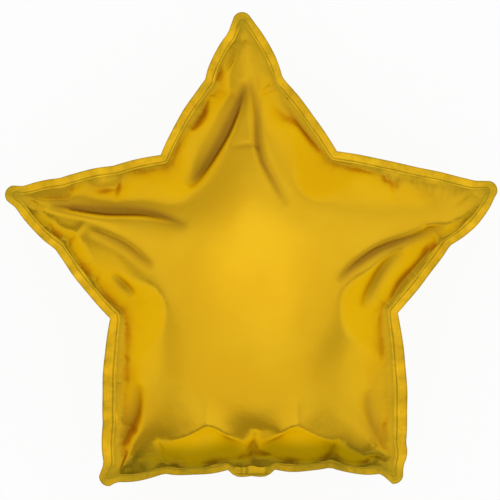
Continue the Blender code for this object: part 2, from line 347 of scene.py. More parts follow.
def fill_star():
    start, flat, closed, faces = two_sheets()
    data = bpy.data.meshes.new("film_filling")
    data.from_pydata(start.tolist(), [], faces)
    film = bpy.data.objects.new("film_filling", data)
    bpy.context.scene.collection.objects.link(film)
    film.shape_key_add(name="start")
    rest = film.shape_key_add(name="flat")
    rest.data.foreach_set("co", flat.ravel())
    pulled = film.shape_key_add(name="pulled_in")
    pulled.data.foreach_set("co", closed.ravel())
    for frame_number, value in ((1, 0.0), (CLOSED_AT_FRAME, 1.0)):
        pulled.value = value
        pulled.keyframe_insert("value", frame=frame_number)
    seam = film.vertex_groups.new(name="seam")
    seam.add(list(range(ring)), 1.0, "REPLACE")
    cloth = film.modifiers.new("film", "CLOTH")
    settings = cloth.settings
    settings.vertex_group_mass = "seam"
    settings.rest_shape_key = rest
    settings.quality = CLOTH_QUALITY
    settings.mass = FILM_MASS
    settings.tension_stiffness = settings.compression_stiffness = FILM_TENSION
    settings.shear_stiffness = FILM_SHEAR
    settings.bending_stiffness = FILM_BENDING
    settings.tension_damping = settings.compression_damping = settings.shear_damping = FILM_DAMPING
    settings.bending_damping = BENDING_DAMPING
    settings.use_pressure = True
    settings.uniform_pressure_force = PRESSURE
    settings.effector_weights.gravity = 0.0
    cloth.collision_settings.use_collision = False
    cloth.point_cache.frame_start = 1
    cloth.point_cache.frame_end = LAST_FRAME
    scene = bpy.context.scene
    for frame_number in range(1, LAST_FRAME + 1):
        scene.frame_set(frame_number)
    shape = film.evaluated_get(bpy.context.evaluated_depsgraph_get()).data
    points = np.zeros(len(shape.vertices) * 3)
    shape.vertices.foreach_get("co", points)
    scene.frame_set(1)
    bpy.data.objects.remove(film)
    bpy.data.meshes.remove(data)
    for action in list(bpy.data.actions):
        bpy.data.actions.remove(action)
    return points.reshape(-1, 3), np.array(faces)


film_points, film_faces = fill_star()
print("crowns:", np.round(film_points[:, 2].max() / MM, 1), np.round(film_points[:, 2].min() / MM, 1))

# %% [markdown]
# ## The bag
#
# The simulated points still carry a little of the mesh's own grain, and folds that a real balloon this full
# has pushed out. Passes that move each point towards the mean of its neighbours take them out: a few near
# the seam, where the gathers are, and more over the open middle.
#
# Beside the weld the two sheets stay nearly flat for a few millimetres and then rise, and gathered film
# never stands up as a wall. So the height is held between a least and a steepest slope from the weld. The
# last step sets the balloon down on the floor, where its weight presses the lowest few millimetres flat.

# %% Smooth the film and hold it at the weld
FINE_PASSES = 5
BROAD_PASSES = 40
BROAD_FROM = 10.0 * MM
BROAD_OVER = 30.0 * MM
WAVE_REACH = 18.0 * MM
WELD_FLAT = 1.5 * MM
SIDE_WELD_FLAT = 5.0 * MM
FLAT_BLEND = 9
LEAST_SLOPE = 0.32
LEAST_SLOPE_REACH = 12.0 * MM
STEEPEST_SLOPE = 1.25
TIP_RISE = 0.8 * MM
FLOOR_SOFTNESS = 1.0 * MM


def smooth_film(points, faces, passes, share=1.0):
    """Each pass moves a point half way to the mean of its neighbours, times its share. The seam is held."""
    ends = np.vstack([faces[:, [0, 1]], faces[:, [1, 2]], faces[:, [2, 0]]])
    ends = np.vstack([ends, ends[:, ::-1]])
    count = np.bincount(ends[:, 0], minlength=len(points))[:, None]
    free = ((np.arange(len(points)) >= ring) * share)[:, None]
    for _ in range(passes):
        total = np.zeros_like(points)
        np.add.at(total, ends[:, 0], points[ends[:, 1]])
        points = points + 0.5 * (total / count - points) * free
    return points


def ease(value):
    """0 below 0 and 1 above 1, smooth between."""
    value = np.clip(value, 0, 1)
    return value * value * (3 - 2 * value)


def near_line(points, line):
    """How far each point is from a line, and how far along it its nearest place is, from 0 to 1."""
    nearest = np.full(len(points), np.inf)
    along = np.zeros(len(points))
    for k, (start, end) in enumerate(zip(line, line[1:])):
        step = end - start
        part = np.clip((points - start) @ step / (step @ step), 0, 1)
        distance = np.linalg.norm(points - start - part[:, None] * step, axis=1)
        closer = distance < nearest
        nearest[closer] = distance[closer]
        along[closer] = (k + part[closer]) / (len(line) - 1)
    return nearest, along


def blended(values, passes):
    """Values along the seam's loop, mixed with their neighbours in each pass."""
    values = np.array(values)
    for _ in range(passes):
        values = (np.roll(values, 1) + 2 * values + np.roll(values, -1)) / 4
    return values


def flat_widths():
    """How far the sheets stay flat beside each point of the seam, blended where one edge meets the next."""
    sides = (("lower_right", -1), ("lower_left", 1))
    widths = [SIDE_WELD_FLAT if (TIPS[tip][0], side) in sides else WELD_FLAT for tip, side, _ in seam_loop]
    return blended(widths, FLAT_BLEND)


def hold_at_weld(points):
    """Keeps each sheet's height between the least and the steepest slope from the weld."""
    nearest = np.concatenate([np.arange(ring), nearest_seam, nearest_seam])
    depth = np.concatenate([np.zeros(ring), to_seam, to_seam])
    way = np.where(np.arange(len(points)) < ring + len(grid), 1.0, -1.0)
    wave = filled_seam[nearest, 2] * np.exp(-depth / WAVE_REACH)
    plan, _ = near_line(points[:, :2], seam_curve)
    least = LEAST_SLOPE * np.minimum(plan, LEAST_SLOPE_REACH)
    most = LEAST_SLOPE * plan + STEEPEST_SLOPE * np.maximum(plan - flat_widths()[nearest], 0)
    held = points.copy()
    held[ring:, 2] = (wave + way * np.clip(way * (points[:, 2] - wave), least, most))[ring:]
    return held


def part_tips(points, faces):
    """In the tips a few edges cross from seam to seam. Each sheet gets a middle of its own on them."""
    points = list(points)
    parted = []
    for rise, sheet in ((TIP_RISE, faces[: len(triangles)]), (-TIP_RISE, faces[len(triangles) :])):
        sheet = [tuple(map(int, face)) for face in sheet]
        uses = Counter(frozenset(edge) for face in sheet for edge in zip(face, face[1:] + face[:1]))
        for edge in [edge for edge, count in uses.items() if count == 2 and max(edge) < ring]:
            middle = len(points)
            points.append(np.mean([points[k] for k in edge], axis=0) + (0, 0, rise))
            crossed = [face for face in sheet if edge <= set(face)]
            sheet = [face for face in sheet if not edge <= set(face)]
            for face in crossed:
                sheet += [tuple(middle if k == end else k for k in face) for end in edge]
        parted += sheet
    return np.array(points), parted


seam_curve = np.vstack([filled_seam[:, :2], filled_seam[:1, :2]])
sheet_share = ease((to_seam - BROAD_FROM) / BROAD_OVER)
broad_share = np.concatenate([np.zeros(ring), sheet_share, sheet_share])
bag_points = smooth_film(film_points, film_faces, FINE_PASSES)
bag_points = smooth_film(bag_points, film_faces, BROAD_PASSES, broad_share)
bag_points = smooth_film(hold_at_weld(bag_points), film_faces, 1)
print("crowns:", np.round(bag_points[:, 2].max() / MM, 1), np.round(bag_points[:, 2].min() / MM, 1))
bag_points, bag_faces = part_tips(bag_points, film_faces)
bag_points = bag_points + (0, 0, SEAM_HEIGHT)
bag_points[:, 2] = FLOOR_SOFTNESS * np.logaddexp(0, bag_points[:, 2] / FLOOR_SOFTNESS)


# %% Make the bag
def new_piece(name, points, faces):
    data = bpy.data.meshes.new(name)
    data.from_pydata([tuple(p) for p in points], [], [tuple(map(int, f)) for f in faces])
    data.validate()
    piece = bpy.data.objects.new(name, data)
    bpy.context.scene.collection.objects.link(piece)
    return piece


def applied(piece):
    """Turns a piece's modifiers into plain mesh."""
    plain = bpy.data.meshes.new_from_object(piece.evaluated_get(bpy.context.evaluated_depsgraph_get()))
    plain.name = piece.name
    piece.modifiers.clear()
    piece.data = plain
    return piece


bag = new_piece("star_bag", bag_points, bag_faces)
crease = bag.data.attributes.new("crease_edge", "FLOAT", "EDGE")
crease.data.foreach_set("value", [float(max(edge.vertices) < ring) for edge in bag.data.edges])
finer = bag.modifiers.new("finer", "SUBSURF")
finer.levels = finer.render_levels = 1
applied(bag)
print("bag:", len(bag.data.polygons), "faces")

# %% [markdown]
# ## Creases that stay in the film
#
# A foil balloon has been folded, packed and filled, and some creases stay for good. On this one they run in
# from the tips and the waists like rays, and two small peaks stand above the bottom edge with ridges
# falling from them. A simulation puts its creases where it likes, so these are listed: each is a line
# over the star, in millimetres from its middle, with a height, negative for a groove, and a width. It moves
# the film along its own normals and fades out towards its ends. The short puckers that run in from every
# gather follow a rule, so they are worked out from the list of gathers.
#
# How deep each place lies in a groove of the list is kept as an attribute, `groove`, because the foil will
# need it: the film is rougher there, and brown shade is painted into the grooves.

# %% Lines of the creases
CREASES = [
    ("top_left", -5.6, 5.2, [(-5, 168), (-10, 152), (-17, 137), (-26, 119), (-43, 91), (-54, 75)]),
    ("top_middle", -3.2, 3.2, [(-1, 172), (4, 143), (5, 117), (9, 99), (18, 81), (30, 58)]),
    ("top_bar", -1.2, 2.6, [(-18, 109), (-3, 111), (9, 110)]),
    ("top_right_edge", -2.0, 4.0, [(28, 158), (45, 130), (62, 108)]),
    ("top_left_edge", -2.0, 4.0, [(-39, 154), (-53, 126)]),
    ("top_tip", -1.8, 2.6, [(-12, 198), (-22, 176)]),
    ("left_main", -5.6, 5.0, [(-176, 62), (-150, 59), (-126, 57), (-88, 55), (-53, 43)]),
    ("left_ridge", 1.8, 4.5, [(-196, 60), (-153, 51), (-114, 43)]),
    ("left_low", -2.8, 4.0, [(-140, 39), (-109, 26), (-83, 5)]),
    ("left_waist", -2.2, 3.6, [(-119, 1), (-100, -18)]),
    ("left_tip", -1.6, 3.2, [(-190, 68), (-153, 70)]),
    ("right_top", -2.4, 3.8, [(78, 97), (128, 89), (170, 80), (198, 76)]),
    ("right_main", -4.6, 4.2, [(168, 43), (137, 32), (111, 23), (89, 9), (72, -6)]),
    ("right_low", -2.8, 4.8, [(130, 22), (115, 9), (104, -9), (95, -28)]),
    ("right_edge", -1.8, 4.4, [(157, 22), (146, 9), (129, -9), (123, -24)]),
    ("left_side", -2.8, 6.0, [(-97, -92), (-100, -116), (-108, -134), (-117, -150)]),
    ("right_side", -2.2, 6.0, [(98, -98), (102, -118), (109, -136), (117, -150)]),
    ("left_peak", 1.1, 3.4, [(-36, -102), (-36, -116), (-36, -132)]),
    ("left_slope_outer", 1.5, 2.8, [(-34, -121), (-52, -132), (-72, -141)]),
    ("left_slope_inner", 1.5, 2.8, [(-38, -121), (-20, -132), (-3, -141)]),
    ("left_brow", 4.0, 9.0, [(-78, -146), (-55, -134), (-36, -124), (-19, -133), (0, -146)]),
    ("right_peak", 1.1, 3.4, [(37, -102), (37, -116), (37, -132)]),
    ("right_slope_inner", 1.5, 2.8, [(39, -121), (22, -132), (6, -141)]),
    ("right_slope_outer", 1.5, 2.8, [(35, -121), (54, -132), (74, -141)]),
    ("right_brow", 4.0, 9.0, [(3, -146), (21, -133), (37, -124), (56, -134), (80, -146)]),
    ("neck_line", -2.4, 3.4, [(3, -130), (2, -146), (1, -164)]),
]
CREASE_SAMPLES = 24
CREASE_FADE = 0.7
CREASE_EDGE = 1.6
BACK_DEPTH = 0.8
CREASE_CLEARANCE = 5.0 * MM
GROOVE_DEPTH = 3.6 * MM
BAG_SHARP = 60
PUCKERS_BETWEEN = 2
PUCKER_SEED = 11
LAST_PUCKER = 0.8
WEAK_PUCKER = 0.55
WEAK_PLACES = (0.15, 0.75)
PUCKER_START = 5.0
PUCKER_MIDDLE = 0.4
PUCKER_LENGTH = (18.0, 30.0)
PUCKER_DEPTH = (1.1, 1.7)
PUCKER_WIDTH = (2.4, 3.4)


def gather_puckers():
    """A short groove that runs in from each gather, and a few weaker ones between them."""
    rng = np.random.default_rng(PUCKER_SEED)
    found = []
    for tip in ARMS:
        for side in (1, -1):
            places = [(share, 1.0) for share, _, _ in GATHERS[TIPS[tip][0], side] if share < LAST_PUCKER]
            places += [(share, WEAK_PUCKER) for share in rng.uniform(*WEAK_PLACES, PUCKERS_BETWEEN)]
            for share, strength in places:
                start = seam_point(tip, side, share)
                ridge = tip_point(tip) * (1 - 0.6 * share) * rng.uniform(0.9, 1.0)
                heading = (ridge - start) / np.linalg.norm(ridge - start)
                length = rng.uniform(*PUCKER_LENGTH) * strength * MM
                first = start - heading * PUCKER_START * MM
                stops = [first, start + heading * length * PUCKER_MIDDLE, start + heading * length]
                height = -rng.uniform(*PUCKER_DEPTH) * strength
                found.append(("pucker", height, rng.uniform(*PUCKER_WIDTH), np.array(stops) / MM))
    return found


# %% Press the creases in
def smooth_line(stops, samples):
    """A Catmull-Rom curve through a few points."""
    stops = np.array(stops, float)
    stops = np.vstack([2 * stops[0] - stops[1], stops, 2 * stops[-1] - stops[-2]])
    found = []
    for place in np.linspace(0, len(stops) - 3, samples):
        first = min(int(place), len(stops) - 4)
        t = place - first
        a, b, c, d = stops[first : first + 4]
        bend = 2 * a - 5 * b + 4 * c - d
        twist = 3 * b - a - 3 * c + d
        found.append(0.5 * (2 * b + (c - a) * t + bend * t**2 + twist * t**3))
    return np.array(found)


def crease_height(points, creases):
    """How far the creases move each point out of the film, for points (x, y) over the star."""
    total = np.zeros(len(points))
    for _, height, width, stops in creases:
        line = smooth_line(stops, CREASE_SAMPLES) * MM
        distance, along = near_line(points, line)
        fade = np.clip(4 * along * (1 - along), 0, 1) ** CREASE_FADE
        total += height * MM * fade * np.exp(-((distance / (width * MM)) ** CREASE_EDGE))
    return total


def press_creases(piece):
    count = len(piece.data.vertices)
    points = np.zeros(count * 3)
    normals = np.zeros(count * 3)
    piece.data.vertices.foreach_get("co", points)
    piece.data.vertex_normals.foreach_get("vector", normals)
    points = points.reshape(-1, 3)
    normals = normals.reshape(-1, 3)
    front = crease_height(points[:, :2], CREASES)
    back = crease_height(points[:, :2] * (-1, 1), CREASES) * BACK_DEPTH
    puckers = crease_height(points[:, :2], gather_puckers())
    plan, _ = near_line(points[:, :2], seam_curve)
    clear = ease(plan / CREASE_CLEARANCE)
    move = np.where(points[:, 2] > SEAM_HEIGHT, front, back) * clear
    points += normals * (move + puckers * clear)[:, None]
    piece.data.vertices.foreach_set("co", points.ravel())
    groove = piece.data.attributes.new("groove", "FLOAT", "POINT")
    groove.data.foreach_set("value", np.clip(-move / GROOVE_DEPTH, 0, 1))
    piece.data.update()
    print("creases:", len(CREASES), "deepest move", round(float(np.abs(move).max() / MM), 1), "mm")


press_creases(bag)
bag.data.shade_smooth()
bag.data.set_sharp_from_angle(angle=math.radians(BAG_SHARP))

# %% [markdown]
# ## Where shade is painted on the film
#
# The film isn't equally bright all over. Next to the weld, in the tips and along the bottom, olive shade is
# painted into its colour. Each point of the bag gets how much as a number, from how far it is from the weld
# and from the tips. Two more numbers say where it is along the weld and how far in, so that the foil can draw
# fine pleats that always run square to the weld.

# %% How much shade is painted on the film, and where it is beside the weld
# How strongly olive shade is painted next to the weld, in the tips and along the bottom.
WELD_PAINTED_SHADE = 0.55
WELD_SHADE = 4.0 * MM
TIP_PAINTED_SHADE = 0.6
TIP_SHADE = 20.0 * MM
BOTTOM_PAINTED_SHADE = 0.9
BOTTOM_SHADE = (12.0 * MM, 30.0 * MM)
PAINTED_SHADE_BLEND = 14


def bottom_shares():
    """1 at the seam's points along the bottom edge and 0 elsewhere, blended at the corners."""
    bottom = (("lower_right", 1), ("lower_left", -1))
    return blended([float((TIPS[tip][0], side) in bottom) for tip, side, _ in seam_loop], PAINTED_SHADE_BLEND)


def painted_shade_amount(flat):
    """How much olive shade is painted on the film at points (x, y), with where each one is beside the weld.
    """
    plan, along = near_line(flat, seam_curve)
    bottom = bottom_shares()[np.round(along * ring).astype(int) % ring]
    from_tip = np.min([np.linalg.norm(flat - tip_point(tip), axis=1) for tip in ARMS], axis=0)
    near_bottom = 1 - ease((plan - BOTTOM_SHADE[0]) / (BOTTOM_SHADE[1] - BOTTOM_SHADE[0]))
    parts = [
        WELD_PAINTED_SHADE * np.exp(-plan / WELD_SHADE),
        TIP_PAINTED_SHADE * np.exp(-from_tip / TIP_SHADE),
        BOTTOM_PAINTED_SHADE * bottom * near_bottom,
    ]
    return 1 - np.prod([1 - part for part in parts], axis=0), plan, along


def mark(piece):
    points = np.zeros(len(piece.data.vertices) * 3)
    piece.data.vertices.foreach_get("co", points)
    dull, plan, along = painted_shade_amount(points.reshape(-1, 3)[:, :2])
    for name, values in (("dull", dull), ("from_weld", plan), ("along_weld", along)):
        piece.data.attributes.new(name, "FLOAT", "POINT").data.foreach_set("value", values)
    return dull


print("mean dullness:", round(float(mark(bag).mean()), 3))

# %% [markdown]
# ## A strip of film
#
# The heat seal and the neck's tail are both strips: film between two rails. So one Geometry Nodes tree makes
# both. It lays a grid between the rails, lifts its middle, adds uneven ripples, and gives the sheet its
# thickness by extruding its faces and closing the back with a turned copy. The rails are a mesh whose
# first half of points is one rail and whose second half is the other.

# %% The tree for a strip of film
ARCH_POWER = 0.6
MERGE_GAP = 0.00001
STRIP_SHARP = 50


def add_node(tree, kind, settings=None, **sockets):
    """A node with its settings made first and its sockets set or linked: spaces in names are written _."""
    node = tree.nodes.new(kind)
    for key, value in (settings or {}).items():
        setattr(node, key, value)
    for key, value in sockets.items():
        choices = [s for s in node.inputs if s.name.replace(" ", "_") == key and s.enabled]
        place = choices[0] if choices else node.inputs[int(key.strip("_"))]
        if isinstance(value, bpy.types.NodeSocket):
            tree.links.new(value, place)
        else:
            place.default_value = value
    return node


def strip_tree():
    tree = bpy.data.node_groups.new("film_strip", "GeometryNodeTree")
    for name, kind in (
        ("Rails", "NodeSocketGeometry"),
        ("Points", "NodeSocketInt"),
        ("Rows", "NodeSocketInt"),
        ("Film", "NodeSocketFloat"),
        ("Belly", "NodeSocketFloat"),
        ("Ripple", "NodeSocketFloat"),
        ("Ripple Scale", "NodeSocketFloat"),
        ("Material", "NodeSocketMaterial"),
    ):
        tree.interface.new_socket(name, in_out="INPUT", socket_type=kind)
    tree.interface.new_socket("Strip", in_out="OUTPUT", socket_type="NodeSocketGeometry")
    given = tree.nodes.new("NodeGroupInput").outputs

    def math_node(operation, first, second):
        return add_node(tree, "ShaderNodeMath", {"operation": operation}, _0_=first, _1_=second).outputs[0]

    rows = math_node("ADD", given["Rows"], 1)
    sheet = add_node(
        tree, "GeometryNodeMeshGrid", None, Size_X=1, Size_Y=1, Vertices_X=rows, Vertices_Y=given["Points"]
    ).outputs["Mesh"]
    index = tree.nodes.new("GeometryNodeInputIndex").outputs[0]
    along = math_node("MODULO", index, given["Points"])
    row = math_node("FLOOR", math_node("DIVIDE", index, given["Points"]), 0)
    across = math_node("DIVIDE", row, given["Rows"])
    position = tree.nodes.new("GeometryNodeInputPosition").outputs[0]

    def rail(place, field, kind="FLOAT_VECTOR"):
        return add_node(
            tree,
            "GeometryNodeSampleIndex",
            {"data_type": kind},
            Geometry=given["Rails"],
            Value=field,
            Index=place,
        ).outputs[0]

    def named(name, kind):
        reader = tree.nodes.new("GeometryNodeInputNamedAttribute")
        reader.data_type = kind
        reader.inputs["Name"].default_value = name
        return reader.outputs["Attribute"]

    first = rail(along, position)
    second = rail(math_node("ADD", along, given["Points"]), position)
    lift = rail(along, named("lift", "FLOAT_VECTOR"))
    flat = add_node(
        tree, "ShaderNodeMix", {"data_type": "VECTOR"}, Factor=across, _4_=first, _5_=second
    ).outputs[1]
    noise = add_node(
        tree, "ShaderNodeTexNoise", None, Vector=flat, Scale=given["Ripple Scale"], Detail=1.0
    ).outputs["Fac"]
    arch = math_node("SINE", math_node("MULTIPLY", across, math.pi), 0)
    uneven = math_node("MULTIPLY", math_node("SUBTRACT", noise, 0.5), across)
    rise = math_node(
        "ADD",
        math_node("MULTIPLY", math_node("POWER", arch, ARCH_POWER), given["Belly"]),
        math_node("MULTIPLY", uneven, given["Ripple"]),
    )
    lifted = add_node(
        tree, "ShaderNodeVectorMath", {"operation": "SCALE"}, _0_=lift, Scale=rise
    ).outputs[0]
    kept = add_node(tree, "GeometryNodeSetPosition", None, Geometry=sheet, Position=flat, Offset=lifted)
    # The rails' painted shade goes onto the strip's points.
    for name, value in (("across", across), ("dull", rail(along, named("dull", "FLOAT"), "FLOAT"))):
        kept = add_node(
            tree,
            "GeometryNodeStoreNamedAttribute",
            {"data_type": "FLOAT", "domain": "POINT"},
            Geometry=kept.outputs[0],
            Name=name,
            Value=value,
        )
    joined = add_node(tree, "GeometryNodeMergeByDistance", None, Geometry=kept.outputs[0], Distance=MERGE_GAP)
    thick = add_node(
        tree,
        "GeometryNodeExtrudeMesh",
        {"mode": "FACES"},
        Mesh=joined.outputs[0],
        Offset_Scale=given["Film"],
        Individual=False,
    )
    turned = add_node(tree, "GeometryNodeFlipFaces", None, Mesh=joined.outputs[0])
    both = tree.nodes.new("GeometryNodeJoinGeometry")
    for part in (thick, turned):
        tree.links.new(part.outputs[0], both.inputs[0])
    closed = add_node(tree, "GeometryNodeMergeByDistance", None, Geometry=both.outputs[0], Distance=MERGE_GAP)
    smooth = add_node(tree, "GeometryNodeSetShadeSmooth", None, Geometry=closed.outputs[0])
    real = add_node(tree, "GeometryNodeRealizeInstances", None, Geometry=smooth.outputs[0])
    dressed = add_node(
        tree, "GeometryNodeSetMaterial", None, Geometry=real.outputs[0], Material=given["Material"]
    )
    add_node(tree, "NodeGroupOutput", None, Strip=dressed.outputs[0])
    return tree


def film_strip(name, first_rail, second_rail, lift, dull, tree, material, **inputs):
    """A strip of film between two rails, as a plain mesh. Lift is the way in which each place rises."""
    rails = new_piece(name, np.vstack([first_rail, second_rail]), [])
    up = rails.data.attributes.new("lift", "FLOAT_VECTOR", "POINT")
    up.data.foreach_set("vector", np.vstack([lift, lift]).ravel())
    # How much shade is painted at each place of the rails.
    painted_attribute = rails.data.attributes.new("dull", "FLOAT", "POINT")
    painted_attribute.data.foreach_set("value", np.concatenate([dull, dull]))
    maker = rails.modifiers.new("strip", "NODES")
    maker.node_group = tree
    wanted = {"Points": len(first_rail), "Material": material, **inputs}
    for item in tree.interface.items_tree:
        if item.in_out == "INPUT" and item.name in wanted:
            maker[item.identifier] = wanted[item.name]
    applied(rails)
    rails.data.set_sharp_from_angle(angle=math.radians(STRIP_SHARP))
    return rails


# %% [markdown]
# ## Writing a material as sums
#
# Node trees are easier to read as arithmetic. `Signal` wraps one socket, so that a sum or product of signals
# adds its Math nodes. Everything else, such as a noise or a colour mix, comes from one method that takes the
# node's type, its settings and its sockets.

# %% Shader helpers
class Signal:
    """A socket that can be used in Python's own arithmetic."""

    def __init__(self, shader, socket):
        self.shader = shader
        self.socket = socket

    def _with(self, operation, first, second=0.0):
        return self.shader.add("ShaderNodeMath", {"operation": operation}, _0_=first, _1_=second)

    def __add__(self, other):
        return self._with("ADD", self, other)

    def __sub__(self, other):
        return self._with("SUBTRACT", self, other)

    def __rsub__(self, other):
        return self._with("SUBTRACT", other, self)

    def __mul__(self, other):
        return self._with("MULTIPLY", self, other)

    def __truediv__(self, other):
        return self._with("DIVIDE", self, other)

    def __abs__(self):
        return self._with("ABSOLUTE", self)

    def clamped(self):
        return self._with("MINIMUM", self._with("MAXIMUM", self, 0.0), 1.0)

    __radd__ = __add__
    __rmul__ = __mul__


class Shader:
    """The node tree of a material or a world."""

    def __init__(self, owner):
        owner.use_nodes = True
        self.tree = owner.node_tree
        self.tree.nodes.clear()

    def add(self, kind, settings=None, output=0, **sockets):
        plain = {key: value.socket if isinstance(value, Signal) else value for key, value in sockets.items()}
        node = add_node(self.tree, kind, settings, **plain)
        outputs = [s for s in node.outputs if s.enabled]
        if isinstance(output, str):
            return Signal(self, node.outputs[output])
        return Signal(self, outputs[output]) if outputs else node

    def mix(self, factor, first, second):
        return self.add("ShaderNodeMix", {"data_type": "RGBA"}, Factor=factor, A=first, B=second)

    def attribute(self, name):
        """A number kept on the piece's own points."""
        return self.add("ShaderNodeAttribute", {"attribute_name": name}, output="Fac")

    def noise(self, vector, scale, detail=2.0, roughness=0.5):
        return self.add("ShaderNodeTexNoise", Vector=vector, Scale=scale, Detail=detail, Roughness=roughness)

    def ramp(self, value, low, high):
        """0 below low and 1 above high, smooth between."""
        return self.add(
            "ShaderNodeMapRange",
            {"interpolation_type": "SMOOTHSTEP"},
            Value=value,
            From_Min=low,
            From_Max=high,
            To_Min=0.0,
            To_Max=1.0,
        )


# %% [markdown]
# ## Gold film
#
# The film is plastic with a skin of metal on it, so the whole surface is metallic and its colour is the
# colour of its reflections. The gold is a yellow lacquer over aluminium, which is more saturated than the
# metal itself. Handling leaves it very slightly crumpled. That shows as a soft, uneven sheen and not as a
# pattern, so it is a faint bump at two sizes and a slow change of roughness. The bag has its pleats, olive
# shade painted beside the weld, in the tips and along the bottom, and brown shade painted in its grooves. The
# seal has its ribs and its pressed weld line, with olive shade painted along that line, where the seal meets
# the bag, at its cut edge, on its tabs and along the bottom, and olive patches at random.

# %% Foil
GOLD = (0.84, 0.495, 0.015, 1.0)
DEEP_GOLD = (0.80, 0.45, 0.012, 1.0)
# Brown painted shade in the grooves.
PAINTED_GROOVE_SHADE = (0.30, 0.14, 0.012, 1.0)
# Olive painted shade: beside the weld, in the tips, along the bottom and on the seal's lines.
PAINTED_SHADE_OLIVE = (0.38, 0.25, 0.010, 1.0)
EDGE_TINT = (0.84, 0.65, 0.28, 1.0)
FOIL_ROUGHNESS = 0.30
CLOUD_SCALE = 14.0
CRUMPLE_SCALE = 55.0
GRAIN_SCALE = 420.0
GRAIN_HEIGHT = 0.04
BUMP_DISTANCE = 0.0012
PLEATS_ROUND = 330.0
PLEAT_LENGTH = 22.0 * MM
PLEAT_HEIGHT = 2.2
GROOVE_SHADE = 0.85
GROOVE_ROUGHNESS = 0.12
SEAL_RIBS = 6
WELD_LINE = 0.36
BAG_LINE = 0.2
WELD_DEPTH = 0.8
TICK_SCALE = 170.0


def foil(name, crumple, crimp=0.0):
    """Gold film. Crumple is the strength of its bump, and crimp the height of a seal's fine ribs."""
    material = bpy.data.materials.new(name)
    shader = Shader(material)
    place = shader.add("ShaderNodeTexCoord", output="Object")
    cloudy = shader.noise(place, CLOUD_SCALE, 3.0)
    creased = shader.noise(place, CRUMPLE_SCALE, 3.0, 0.6)
    grain = shader.noise(place, GRAIN_SCALE, 1.0)
    colour = shader.mix(shader.ramp(cloudy, 0.35, 0.65), GOLD, DEEP_GOLD)
    roughness = (cloudy - 0.5) * 0.12 + (grain - 0.5) * 0.04 + FOIL_ROUGHNESS
    height = creased + grain * GRAIN_HEIGHT
    dull = shader.attribute("dull")
    if crimp:
        across = shader.attribute("across")
        ribs = shader.add("ShaderNodeMath", {"operation": "SINE"}, _0_=across * (2 * math.pi * SEAL_RIBS))
        height = height + ribs * crimp
        # Painted shade on the seal: olive along the weld line, where it meets the bag, at its cut edge, on
        # its tabs and along the bottom; the patches and ticks are olive at random.
        weld_line = shader.ramp(abs(across - WELD_LINE), 0.07, 0.02)
        bag_line = shader.ramp(abs(across - BAG_LINE), 0.05, 0.01)
        at_cut = shader.ramp(across, 0.86, 0.97)
        patchy = shader.ramp(creased, 0.36, 0.62)
        ticks = shader.ramp(shader.noise(place, TICK_SCALE, 2.0), 0.46, 0.6)
        shade = weld_line * 0.75 + bag_line * 0.35 + at_cut * 0.6 + patchy * 0.15 + ticks * 0.2
        shade = shade + dull * (1 - across * 0.5)
        colour = shader.mix(shade.clamped(), colour, PAINTED_SHADE_OLIVE)
        height = height - weld_line * WELD_DEPTH
    else:
        groove = shader.attribute("groove")
        from_weld = shader.attribute("from_weld")
        beside = shader.add(
            "ShaderNodeCombineXYZ",
            X=shader.attribute("along_weld") * PLEATS_ROUND,
            Y=from_weld / PLEAT_LENGTH,
        )
        pleats = shader.noise(beside, 1.0, 1.0)
        height = height + pleats * shader.ramp(from_weld, PLEAT_LENGTH, 0.0) * PLEAT_HEIGHT
        # Painted shade: olive beside the weld, in the tips and along the bottom, and brown in the grooves.
        colour = shader.mix(dull.clamped(), colour, PAINTED_SHADE_OLIVE)
        colour = shader.mix((groove * GROOVE_SHADE).clamped(), colour, PAINTED_GROOVE_SHADE)
        roughness = roughness + groove.clamped() * GROOVE_ROUGHNESS
    bump = shader.add("ShaderNodeBump", Strength=crumple, Distance=BUMP_DISTANCE, Height=height)
    surface = shader.add(
        "ShaderNodeBsdfPrincipled",
        Base_Color=colour,
        Metallic=1.0,
        Roughness=roughness,
        Specular_Tint=EDGE_TINT,
        Normal=bump,
    )
    shader.add("ShaderNodeOutputMaterial", Surface=surface)
    return material


bag_foil = foil("gold_foil_bag", crumple=0.25)
seal_foil = foil("gold_foil_seal", crumple=0.3, crimp=0.12)
bag.data.materials.append(bag_foil)

# %% [markdown]
# ## The heat seal
#
# Outside the seam the two sheets are melted together in a band about 8 mm wide, cut off a little outside
# the weld. It runs round the tip of each arm as a small round tab. The band can't shrink, so it takes up the
# gathers by waving out of its plane. Its inner rail sits just inside the bag, which hides the joint.

# %% Rails of the seal, and the seal
SEAL_FILM = 0.5 * MM
TUCK = 2.2 * MM
TUCK_FADE = 8
KNOB_STEPS = 14
RIM_WAVE = 2.2
# Olive shade painted on the seal's round tabs and along its bottom edge.
KNOB_PAINTED_SHADE = 0.75
KNOB_SHARE = 0.12
SEAL_BOTTOM_PAINTED_SHADE = 0.9


def turned(direction, angle):
    cos, sin = math.cos(angle), math.sin(angle)
    return np.array([direction[0] * cos - direction[1] * sin, direction[0] * sin + direction[1] * cos])


